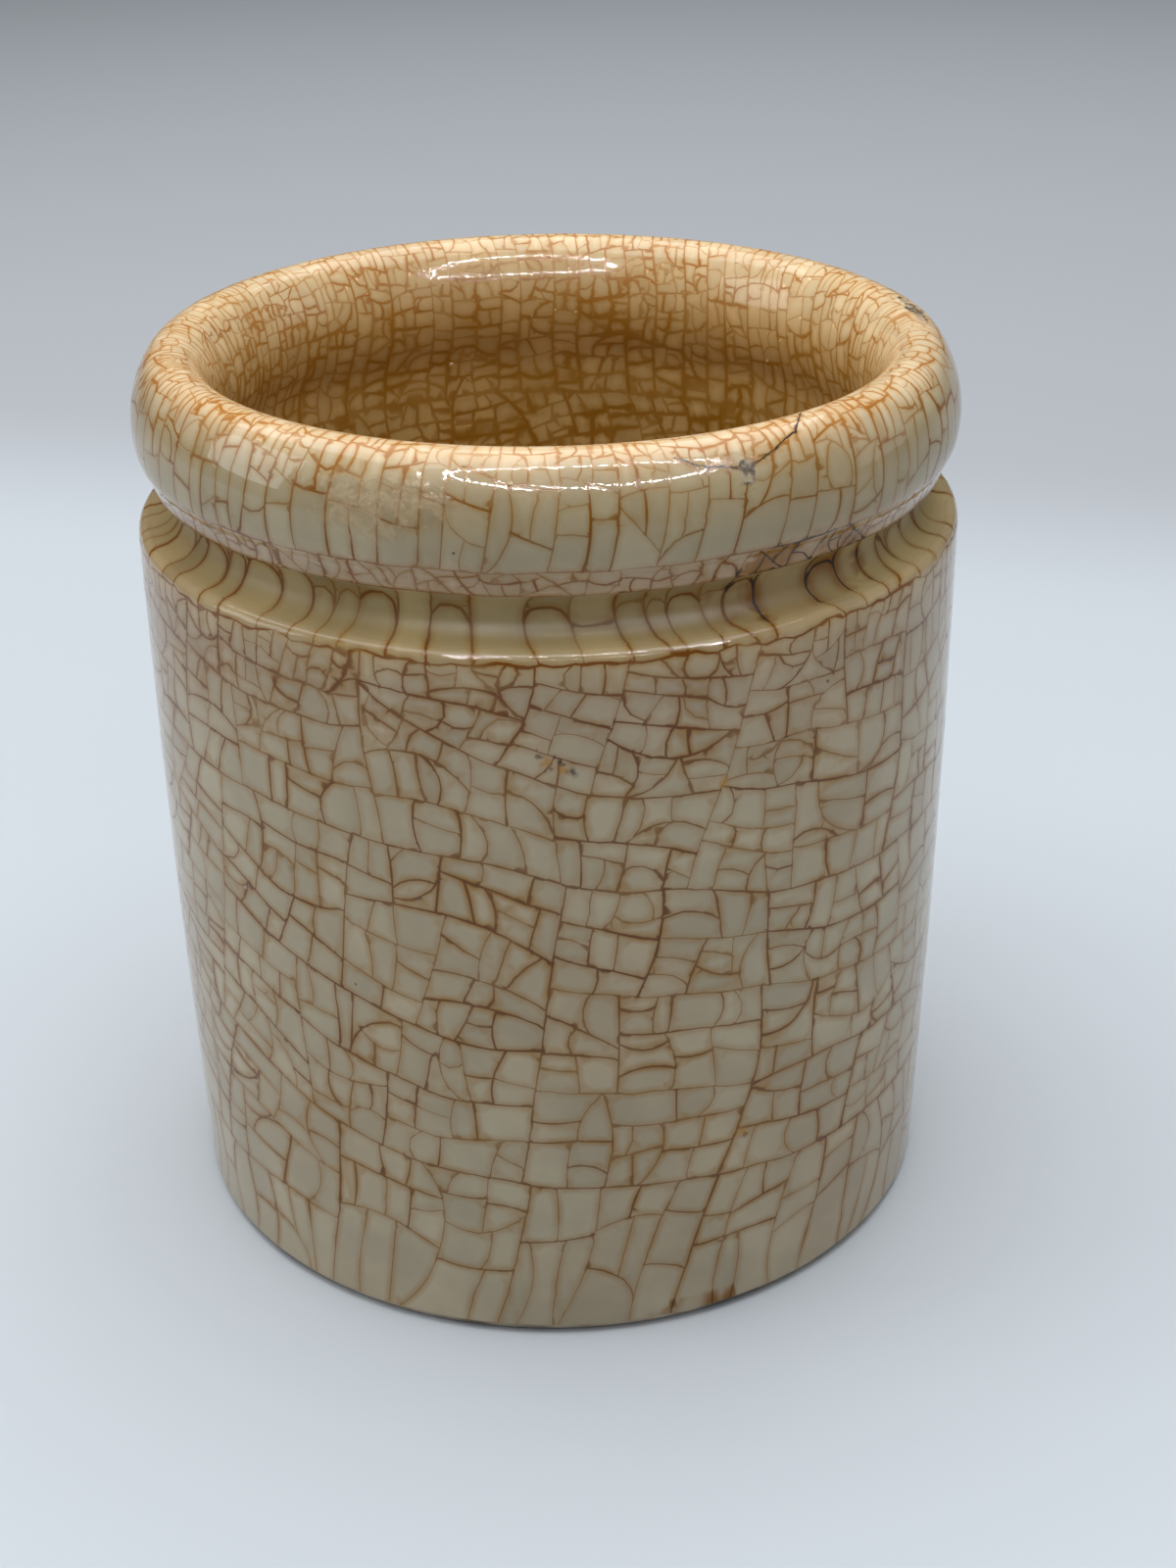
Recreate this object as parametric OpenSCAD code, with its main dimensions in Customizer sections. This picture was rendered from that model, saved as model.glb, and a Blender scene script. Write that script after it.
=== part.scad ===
// Straight-sided stoneware pot with a rolled rim, a string groove and coats of glaze

/* [Body] */
// Outside diameter of the glazed wall at the shoulder
body_d = 84; // [70:0.5:110]
// How much narrower the foot is than the shoulder, on the diameter
foot_taper = 2.4; // [0:0.2:6]
// How far the wall swells out halfway up
belly = 0.4; // [0:0.1:2]
// Height of the shoulder above the table
shoulder_h = 76.8; // [50:0.2:120]
// Rounding of the shoulder's edge
shoulder_round = 1.2; // [0.8:0.1:2]
// Thickness of the wall, glaze included
wall_t = 7.5; // [6:0.1:9]
// Thickness of the floor, glaze included
floor_t = 8; // [6:0.2:14]
// Rounding between wall and floor inside
floor_round = 9; // [3:0.5:16]

/* [Rim] */
// How far the roll stays inside the line of the wall
rim_step = 0.3; // [0:0.1:1]
// Width of the roll
roll_w = 8.9; // [8:0.1:12]
// Height of the roll
roll_h = 14.8; // [13:0.2:18]
// Radius of the roll's crown
crown_r = 3.2; // [2.6:0.1:3.8]
// Height of the hollow band at the foot of the roll
band_h = 2.8; // [1.5:0.1:3.5]
// Depth of that hollow
band_d = 0.3; // [0.1:0.05:0.5]
// Rounding where the roll runs into the wall inside
throat_round = 8; // [3:0.5:12]

/* [Groove] */
// Height of the string groove
groove_w = 4.5; // [3.6:0.1:6]
// Depth of the string groove, from the line of the wall
groove_depth = 4; // [3:0.1:4.6]

/* [Foot] */
// Width of the ring that the pot stands on
ring_w = 6; // [4:0.2:10]
// Rounding of the ring's outer edge
ring_round = 1; // [0.5:0.1:1.6]
// Depth of the hollow under the pot
recess_d = 2; // [1:0.1:3]
// Rounding of that hollow's edge
recess_round = 1.4; // [0.6:0.1:1.6]

/* [Glaze] */
// Thickness of the glaze
glaze_t = 0.4; // [0.2:0.05:0.6]
// Height of bare clay at the foot
bare_h = 1.2; // [1:0.1:4]
// Bare margin round the glaze under the pot
base_margin = 1; // [0.5:0.1:3]

/* [Hidden] */
$fn = 128;
// Straight steps that make up the swelling wall
wall_steps = 8;
// Overrun of cutting shapes
over = 1;

body_r = body_d / 2;
foot_r = body_r - foot_taper / 2;
cavity_r = body_r - wall_t;
wall_top = shoulder_h - shoulder_round;

// The roll is an oval of two crown arcs and two flank arcs, tangent to each other
roll_r = body_r - rim_step - roll_w / 2;
crown_rise = roll_h / 2 - crown_r;
flank_r = (pow(roll_w / 2, 2) - pow(crown_r, 2) + pow(crown_rise, 2)) / (roll_w - 2 * crown_r);
flank_shift = flank_r - roll_w / 2;
crown_turn = atan2(crown_rise, flank_shift);

// The groove is half round, from the shoulder up to the foot of the roll
groove_r = groove_w / 2;
groove_c = body_r - groove_depth + groove_r;
groove_z = shoulder_h + groove_r;
lip_z = shoulder_h + groove_w;
roll_z = lip_z + flank_drop(groove_c);
pot_h = roll_z + roll_h / 2;

// The hollow band is an arc from the foot of the roll up to a point on its flank
band_top_z = lip_z + band_h;
band_top_r = flank_edge(band_top_z);
band_chord = norm([band_top_r - groove_c, band_h]);
band_turn = atan2(groove_c - band_top_r, band_h);
band_r = pow(band_chord, 2) / (8 * band_d) + band_d / 2;

// The throat is an arc that touches the roll's inner flank and the wall inside
throat_gap = roll_r + flank_shift - cavity_r;
throat_drop = sqrt(max(0, pow(flank_r + throat_round, 2) - pow(throat_gap + throat_round, 2)));
throat_z = roll_z - throat_drop;
throat_share = throat_drop / (flank_r + throat_round);

recess_r = foot_r - ring_w;

// Drop from the middle of the roll to where its outer flank has radius r
function flank_drop(r) = sqrt(pow(flank_r, 2) - pow(r - roll_r + flank_shift, 2));

// Radius of the roll's outer flank at height z
function flank_edge(z) = roll_r - flank_shift + sqrt(pow(flank_r, 2) - pow(roll_z - z, 2));

// Radius of the wall at a share u of its height
function wall_r(u) = foot_r + (body_r - foot_r) * u + belly * 4 * u * (1 - u);

// Section of the roll, shrunk by depth
module roll_section(depth) {
    tangent_h = crown_rise + (crown_r - depth) * sin(crown_turn);
    translate([roll_r, roll_z]) {
        for (side = [-1, 1])
            translate([0, side * crown_rise])
                circle(crown_r - depth);
        intersection() {
            translate([-roll_w / 2, -tangent_h])
                square([roll_w, 2 * tangent_h]);
            translate([flank_shift, 0])
                circle(flank_r - depth);
            translate([-flank_shift, 0])
                circle(flank_r - depth);
        }
    }
}

// Section of the wall up to the shoulder, filled to the axis and shrunk by depth
module wall_section(depth) {
    side = [for (k = [0 : wall_steps])
        [wall_r(k / wall_steps) - depth, ring_round + (wall_top - ring_round) * k / wall_steps]];
    polygon(concat([[0, 0], [foot_r - depth - ring_round, 0]], side,
        [[body_r - shoulder_round, wall_top], [body_r - shoulder_round, shoulder_h - depth],
         [0, shoulder_h - depth]]));
    translate([body_r - shoulder_round, wall_top])
        circle(shoulder_round - depth);
    translate([foot_r - depth - ring_round, ring_round])
        circle(ring_round);
}

// Section of the whole outside, filled to the axis and shrunk by depth
module outer_form(depth) {
    difference() {
        union() {
            wall_section(depth);
            translate([0, wall_top - shoulder_round])
                square([groove_c, lip_z - wall_top + shoulder_round - depth]);
            translate([0, groove_z])
                square([roll_r, roll_z - groove_z]);
            roll_section(depth);
        }
        translate([groove_c, groove_z])
            circle(groove_r + depth);
        translate([(groove_c + band_top_r) / 2, lip_z + band_h / 2])
            rotate(band_turn)
                translate([band_r - band_d, 0])
                    circle(band_r + depth);
    }
}

// Section of the space inside, grown by depth
module inner_form(depth) {
    throat_top = roll_z - (flank_r - depth) * throat_share;
    difference() {
        union() {
            translate([0, floor_t - depth])
                square([cavity_r - floor_round, floor_round + depth + over]);
            translate([cavity_r - floor_round, floor_t + floor_round])
                circle(floor_round + depth);
            translate([0, floor_t + floor_round])
                square([cavity_r + depth, pot_h - floor_t - floor_round + over]);
            translate([0, roll_z])
                square([roll_r, pot_h - roll_z + over]);
        }
        roll_section(depth);
        difference() {
            translate([cavity_r - throat_round, throat_z])
                square([throat_round + depth + over, throat_top - throat_z]);
            translate([cavity_r - throat_round, throat_z])
                circle(throat_round + depth);
        }
    }
}

// Section of the hollow under the pot
module recess_section() {
    translate([0, -over])
        square([recess_r - recess_round, recess_d + over]);
    translate([recess_r - recess_round, recess_d - recess_round])
        circle(recess_round);
    translate([0, -over])
        square([recess_r, recess_d - recess_round + over]);
}

module clay_body() {
    color("tan")
        rotate_extrude()
            difference() {
                outer_form(glaze_t);
                inner_form(glaze_t);
                recess_section();
            }
}

module outer_glaze() {
    color("cornsilk")
        rotate_extrude()
            difference() {
                outer_form(0);
                outer_form(glaze_t);
                translate([0, -over])
                    square([body_r + over, bare_h + over]);
                translate([0, lip_z])
                    square([roll_r, pot_h - lip_z + over]);
            }
}

module inner_glaze() {
    color("burlywood")
        rotate_extrude()
            difference() {
                inner_form(glaze_t);
                inner_form(0);
                translate([0, pot_h])
                    square([roll_r + over, 2 * over]);
            }
}

module base_glaze() {
    color("cornsilk")
        translate([0, 0, recess_d - glaze_t])
            cylinder(r = recess_r - recess_round - base_margin, h = glaze_t);
}

clay_body();
outer_glaze();
inner_glaze();
base_glaze();
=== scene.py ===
import bmesh
import bpy
import random
from bisect import bisect_left
from collections import Counter
from math import atan2, cos, degrees, dist, exp, hypot, pi, radians, sin, sqrt
from mathutils import Matrix, Vector
from mathutils.kdtree import KDTree
from mathutils.noise import noise
from types import SimpleNamespace


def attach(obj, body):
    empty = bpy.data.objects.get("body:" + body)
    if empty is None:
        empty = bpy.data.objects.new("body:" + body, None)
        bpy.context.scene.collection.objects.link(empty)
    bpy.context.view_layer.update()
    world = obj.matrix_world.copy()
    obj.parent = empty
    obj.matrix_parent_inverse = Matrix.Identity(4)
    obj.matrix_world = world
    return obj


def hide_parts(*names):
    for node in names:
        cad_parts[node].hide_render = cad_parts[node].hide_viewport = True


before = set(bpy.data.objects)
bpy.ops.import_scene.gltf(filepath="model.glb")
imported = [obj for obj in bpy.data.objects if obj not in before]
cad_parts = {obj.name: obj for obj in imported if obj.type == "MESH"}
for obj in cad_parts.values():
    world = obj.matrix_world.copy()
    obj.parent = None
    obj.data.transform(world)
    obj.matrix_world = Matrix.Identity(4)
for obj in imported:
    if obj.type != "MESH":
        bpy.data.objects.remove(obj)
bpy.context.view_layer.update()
mm = 0.001

# The pot's form in millimetres, as the solids have it
potForm = {
    "bodyR": 42.0,
    "footR": 40.8,
    "belly": 0.4,
    "shoulderH": 76.8,
    "shoulderRound": 1.2,
    "cavityR": 34.5,
    "floorT": 8.0,
    "floorRound": 9.0,
    "rollR": 37.25,  # radius of the rim's crest line
    "rollW": 8.9,
    "rollH": 14.8,
    "crownR": 3.2,
    "bandH": 2.8,  # hollow band at the foot of the roll
    "bandD": 0.3,
    "throatRound": 8.0,
    "grooveW": 4.5,
    "grooveDepth": 4.0,
    "ringRound": 1.0,
    "glazeT": 0.4,
    "bareH": 1.2,  # bare clay at the foot
}


def arc(centre, radius, startDeg, endDeg, gap=0.1):
    count = max(2, int(abs(radians(endDeg - startDeg)) * radius / gap))
    turns = [radians(startDeg + (endDeg - startDeg) * k / count) for k in range(count + 1)]
    return [(centre[0] + radius * cos(a), centre[1] + radius * sin(a)) for a in turns]


def line(start, end, gap=0.1):
    count = max(1, int(dist(start, end) / gap))
    return [(start[0] + (end[0] - start[0]) * k / count, start[1] + (end[1] - start[1]) * k / count)
            for k in range(count + 1)]


def angleOf(centre, point):
    return degrees(atan2(point[1] - centre[1], point[0] - centre[0]))


def rollArcs(form):
    half = form.rollW / 2
    rise = form.rollH / 2 - form.crownR
    flankR = (half ** 2 - form.crownR ** 2 + rise ** 2) / (2 * (half - form.crownR))
    shift = flankR - half
    grooveR = form.grooveW / 2
    grooveC = form.bodyR - form.grooveDepth + grooveR
    lipZ = form.shoulderH + form.grooveW
    rollZ = lipZ + sqrt(flankR ** 2 - (grooveC - form.rollR + shift) ** 2)
    return SimpleNamespace(crown=(form.rollR, rollZ + rise), flankR=flankR, shift=shift, grooveR=grooveR,
                           grooveC=grooveC, lipZ=lipZ, rollZ=rollZ, turn=degrees(atan2(rise, shift)))


def wallRadius(form, z):
    low = form.ringRound
    u = (z - low) / (form.shoulderH - form.shoulderRound - low)
    return form.footR + (form.bodyR - form.footR) * u + form.belly * 4 * u * (1 - u)


# Outlines run from the crest of the rim: (name of the stretch, its points)
def outerStretches(form):
    roll = rollArcs(form)
    flank = (form.rollR - roll.shift, roll.rollZ)
    lip = (roll.grooveC, roll.lipZ)
    topZ = roll.lipZ + form.bandH
    top = (flank[0] + sqrt(roll.flankR ** 2 - (roll.rollZ - topZ) ** 2), topZ)
    chord = dist(lip, top)
    bandR = chord ** 2 / (8 * form.bandD) + form.bandD / 2
    out = ((top[1] - lip[1]) / chord, (lip[0] - top[0]) / chord)
    bandC = [(lip[k] + top[k]) / 2 + out[k] * (bandR - form.bandD) for k in (0, 1)]
    groove = (roll.grooveC, form.shoulderH + roll.grooveR)
    edge = (form.bodyR - form.shoulderRound, form.shoulderH - form.shoulderRound)
    wallZ = [edge[1] + (form.bareH - edge[1]) * k / 400 for k in range(401)]
    return [
        ("roll", arc(roll.crown, form.crownR, 90, roll.turn)
         + arc(flank, roll.flankR, roll.turn, angleOf(flank, top))),
        ("band", arc(bandC, bandR, angleOf(bandC, top) % 360, angleOf(bandC, lip) % 360)),
        ("groove", arc(groove, roll.grooveR, 90, 270)
         + line((groove[0], form.shoulderH), (edge[0], form.shoulderH))),
        ("edge", arc(edge, form.shoulderRound, 90, 0)),
        ("wall", [(wallRadius(form, z), z) for z in wallZ]),
    ]


def innerStretches(form):
    roll = rollArcs(form)
    flank = (form.rollR + roll.shift, roll.rollZ)
    reach = roll.flankR + form.throatRound
    gap = flank[0] - form.cavityR + form.throatRound
    throat = (form.cavityR - form.throatRound, roll.rollZ - sqrt(reach ** 2 - gap ** 2))
    touch = angleOf(throat, flank)
    floorC = (form.cavityR - form.floorRound, form.floorT + form.floorRound)
    return [
        ("roll", arc(roll.crown, form.crownR, 90, 180 - roll.turn)
         + arc(flank, roll.flankR, 180 - roll.turn, 180 + touch)),
        ("throat", arc(throat, form.throatRound, touch, 0)),
        ("wall", line((form.cavityR, throat[1]), (form.cavityR, floorC[1]))),
        ("floor", arc(floorC, form.floorRound, 0, -90)
         + line((floorC[0], form.floorT), (0.0, form.floorT))),
    ]


outlineSteps = 2400


class Outline:
    # A turned outline that gives a point, or its direction, at a length from the crest
    def __init__(self, stretches, soften):
        points = []
        self.ends = {}
        for name, run in stretches:
            points += [p for p in run if not points or dist(p, points[-1]) > 1e-4]
            self.ends[name] = len(points) - 1
        lengths = [0.0]
        for a, b in zip(points, points[1:]):
            lengths.append(lengths[-1] + dist(a, b))
        self.ends = {name: lengths[k] for name, k in self.ends.items()}
        self.points, self.lengths = points, lengths
        self.length = lengths[-1]
        marks = range(outlineSteps + 1)
        fine = [self.at(self.length * k / outlineSteps) for k in marks]
        reach = max(1, int(soften / self.length * outlineSteps))
        for _ in range(2):  # glaze rounds every corner, so corners are averaged away
            fine = [self.averaged(fine, k, min(reach, k, outlineSteps - k)) for k in marks]
        self.points = fine
        self.lengths = [self.length * k / outlineSteps for k in marks]

    def averaged(self, points, k, reach):
        run = points[k - reach:k + reach + 1]
        return (sum(p[0] for p in run) / len(run), sum(p[1] for p in run) / len(run))

    def at(self, s):
        k = min(max(bisect_left(self.lengths, s), 1), len(self.lengths) - 1)
        a, b = self.points[k - 1], self.points[k]
        u = (s - self.lengths[k - 1]) / (self.lengths[k] - self.lengths[k - 1])
        u = min(max(u, 0.0), 1.0)
        return (a[0] + (b[0] - a[0]) * u, a[1] + (b[1] - a[1]) * u)

    def direction(self, s):
        a, b = self.at(max(s - 0.3, 0)), self.at(min(s + 0.3, self.length))
        size = max(dist(a, b), 1e-6)
        return ((b[0] - a[0]) / size, (b[1] - a[1]) / size)


class PotOutline:
    # The whole skin: below zero down the outside, above zero down the inside, zero on the crest
    def __init__(self, sizes):
        form = SimpleNamespace(**sizes)
        self.outer = Outline(outerStretches(form), soften=0.45)
        self.inner = Outline(innerStretches(form), soften=0.3)
        self.foot, self.middle = -self.outer.length, self.inner.length
        ends = self.outer.ends
        self.bandTop, self.lip = -ends["roll"], -ends["band"]
        self.shoulder = -ends["edge"]
        self.throat, self.floor = self.inner.ends["throat"], self.inner.ends["wall"]

    def at(self, s):
        return self.outer.at(-s) if s < 0 else self.inner.at(s)

    # Outward normal of the skin, as (r, z)
    def normal(self, s):
        side = self.outer if s < 0 else self.inner
        dr, dz = side.direction(abs(s))
        return (-dz, dr) if s < 0 else (dz, -dr)


skin = {
    "steps": 264,  # faces round the pot
    "rimGap": 0.6, "wallGap": 1.05, "insideGap": 1.2,  # height of the faces in mm
    "stray": 0.34,  # how far a ring of the skin wanders up and down
    "sink": 0.02,  # least depth of the surface below the solid's
    "ripples": [(0.045, 8.0), (0.05, 24.0)],  # how deep, over what length, in mm
    "crackDip": 0.005,  # how far the glaze dips at a crack
}
pot = PotOutline(potForm)
print(f"outline: foot {pot.foot:.1f}, shoulder {pot.shoulder:.1f}, "
      f"lip {pot.lip:.1f}, band top {pot.bandTop:.1f}")


def rowsBetween(starts, gaps):
    rows = []
    for a, b, gap in zip(starts, starts[1:], gaps):
        count = max(1, round((b - a) / gap))
        rows += [a + (b - a) * k / count for k in range(count)]
    return rows + [starts[-1]]


def around(turn, r, z):
    return Vector((r * cos(turn), r * sin(turn), z))


# A point of the outline, sunk below the skin, as (r, z)
def sunkPoint(s, depth):
    r, z = pot.at(s)
    nr, nz = pot.normal(s)
    return r - nr * depth, z - nz * depth


def surfacePoint(turn, s, depth):
    return around(turn, *sunkPoint(s, depth))


# A turned sheet: a grid rolled up round the pot, its rows at (length, r, z)
def rollUp(rows, steps):
    bm = bmesh.new()
    lengthOf = bm.verts.layers.float.new("length")
    last = len(rows) - 1
    bmesh.ops.create_grid(bm, x_segments=steps, y_segments=last, size=1.0)
    for v in bm.verts:
        s, r, z = rows[round((v.co.y + 1) / 2 * last)]
        v.co = around(pi * (v.co.x + 1), r, z)
        v[lengthOf] = s
    bmesh.ops.remove_doubles(bm, verts=bm.verts, dist=1e-4)
    bmesh.ops.recalc_face_normals(bm, faces=bm.faces)
    return bm


# The glazed skin in one sheet, each vertex keeping its length from the crest
def makeSkin():
    starts = (pot.foot, pot.shoulder - 3, pot.shoulder, pot.lip, pot.bandTop, 0.0, pot.throat, pot.floor,
              pot.middle)
    gaps = [skin["wallGap"]] + [skin["rimGap"]] * 5 + [skin["insideGap"]] * 2
    bm = rollUp([(s, *pot.at(s)) for s in rowsBetween(starts, gaps)], skin["steps"])
    lengthOf = bm.verts.layers.float["length"]
    for v in bm.verts:
        s, turn = v[lengthOf], atan2(v.co.y, v.co.x)
        loose = min(1.0, abs(s) / 4, (s - pot.foot) / 4, (pot.middle - s) / 8)
        way = around(turn, 9, s * 0.12)
        ragged = exp(-((s - pot.shoulder) / 1.5) ** 2)
        moved = s + skin["stray"] * loose * (noise(way) + 1.6 * ragged * noise(way * 2.9))
        depth = skin["sink"]
        for far, over in skin["ripples"]:
            depth += far * (0.5 + 0.5 * noise(v.co / over)) * loose
        if pot.middle - s > 0.01:
            v.co = surfacePoint(turn, moved, depth)
    return bm


# Crazing: each crack is cut through one cell and stops at the older cracks round it
crazing = {
    "seed": 24,
    "wander": [(1.0, 12.0), (2.0, 30.0), (4.5, 55.0)],  # how far cracks stray, over what length, in mm
    "slope": 0.27,  # lean of the long cracks round the body
    "slopeFrom": -0.6,  # where round the pot they run level
    "snap": 0.1,  # a crack this near to a vertex runs through it
    "leaning": 25,  # pieces of more cells than this follow the slope, others their own sides
    "strips": (5, 1.6),  # pieces of more cells than this part into strips, so much wider than a cell
    "arcs": (7, 0.1),  # below how many cells, and how often, a crack curves round a corner
    "bows": (20, 0.3),  # below how many cells, and how often, a crack bows
    "leastShare": 0.3,  # a crack that would leave less than this runs straight through the middle
    "fade": (1.0, 1.0, 0.9, 0.75, 0.5, 0.35, 0.25),  # shares of the full stain, one drawn for each crack
    "sizes": (0.8, 1.8),  # a cell is done below its usual size times a number drawn from here
    "levels": 16,  # or after this many cracks
    "offCentre": 0.17,  # how far a crack may miss the middle, as a share of the piece
    "bow": (0.1, 0.24),  # how far it then bows, for its length
    "archRise": (6.8, 7.6),  # height of the rounded cells in the groove, along the surface
    "patches": (0.45, 0.065),  # finer and coarser areas: by how much, how often
}

# Cell width and height in mm, and how loosely the cracks keep to the grid, at lengths from the crest
cellSizes = [
    (pot.foot, 3.5, 13.0, 0.08), (pot.foot + 9, 3.7, 7.2, 0.1), (pot.foot + 17, 3.8, 3.6, 0.15),
    (pot.shoulder - 16, 3.8, 3.6, 0.15), (pot.shoulder - 6, 2.9, 2.8, 0.18),
    (pot.shoulder - 0.1, 2.1, 2.0, 0.22), (pot.shoulder, 4.1, 11.0, 0.2), (pot.lip - 0.1, 4.1, 11.0, 0.2),
    (pot.lip, 2.1, 1.8, 0.2), (pot.bandTop - 0.1, 2.1, 1.8, 0.2), (pot.bandTop, 3.3, 6.4, 0.13),
    (-7.0, 2.8, 4.8, 0.17), (-2.0, 1.3, 2.2, 0.22), (5.0, 1.5, 1.9, 0.24),
    (pot.throat, 2.2, 2.1, 0.22), (pot.middle, 2.6, 2.6, 0.25),
]

# Stretches between the rings that stop every crack, from the foot to the middle of the floor: "ring" and
# "stain" say how stained the cracks are, "line" the ring at the start, "arches" how many cells are rounded
zoneKeys = ("name", "seed", "start", "rings", "ring", "sectors", "tilt", "arches", "stain", "line")
zones = [dict(zip(zoneKeys, row)) for row in (
    ("body", 0, pot.foot, 2, 0.6, 5, -0.25, 0, 0.95, 0.0),
    ("groove", 100, pot.shoulder, 0, 0, 30, 0, 0.9, 1.0, 0.9),
    ("band", 200, pot.lip, 0, 0, 28, 1.2, 0, 0.85, 0.5),
    ("roll", 300, pot.bandTop, 0, 0, 66, 0, 0, 0.95, 0.45),
    ("inside", 400, pot.throat + 2, 3, 0.5, 8, 0, 0, 0.9, 0.4),
    ("floor", 500, pot.floor, 0, 0, 6, 0, 0, 0.9, 0.4),
)]

# Marks on the glaze: kind 0 is a chip, 1 rubbed glaze, 2 a dark patch (dirt in the groove and band, a darker
# lowest edge at the foot); turn in degrees, lengths in mm
markKeys = ("kind", "turn", "length", "wide", "tall", "depth", "strength")
blemishes = [dict(zip(markKeys, row)) for row in (
    (0, -64.8, -4.6, 1.1, 1.3, 0.06, 0.66),
    (0, 7.0, -0.9, 4.4, 0.9, 0.25, 1.0),
    (1, -110.5, -6.8, 6.6, 3.0, 0.03, 1.0),
    (1, 62.0, -8.0, 4.0, 2.0, 0.03, 0.7),
    (2, -52.5, pot.lip - 4.4, 8.5, 2.8, 0.0, 1.0),
    (2, -55.0, pot.lip + 0.9, 7.0, 2.4, 0.0, 1.0),
    (2, -71.0, pot.foot, 5.0, 1.6, 0.0, 1.0),
    (2, 120.0, pot.foot, 8.0, 1.5, 0.0, 0.7),
)]

# Edge of a mark: noise by how much and how often, how far out it is looked for, where and how it fades
wearEdge = {"noise": [(0.45, 0.9), (0.35, 2.3)], "reach": 1.6, "end": 1.15, "fade": 0.5}

# A dark crack over the rim, its path as (turn in degrees, length from the crest in mm)
hairCrack = {
    "radius": 38.5,  # of the rim, where the crack crosses it
    "path": [(-47.5, 3.0), (-56.0, -1.8), (-63.5, -4.0), (-66.5, -4.3), (-70.5, -3.6), (-73.5, -2.6)],
    "beyond": 0.5,  # how far past a stretch's ends, and beside it, faces are cut
    "beside": 1.5,
}


def once(items):
    return list(dict.fromkeys(items))


def cellSize(s):
    k = min(max(bisect_left([row[0] for row in cellSizes], s), 1), len(cellSizes) - 1)
    a, b = cellSizes[k - 1], cellSizes[k]
    u = min(max((s - a[0]) / (b[0] - a[0]), 0.0), 1.0)
    return [a[i] + (b[i] - a[i]) * u for i in (1, 2, 3)]


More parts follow.
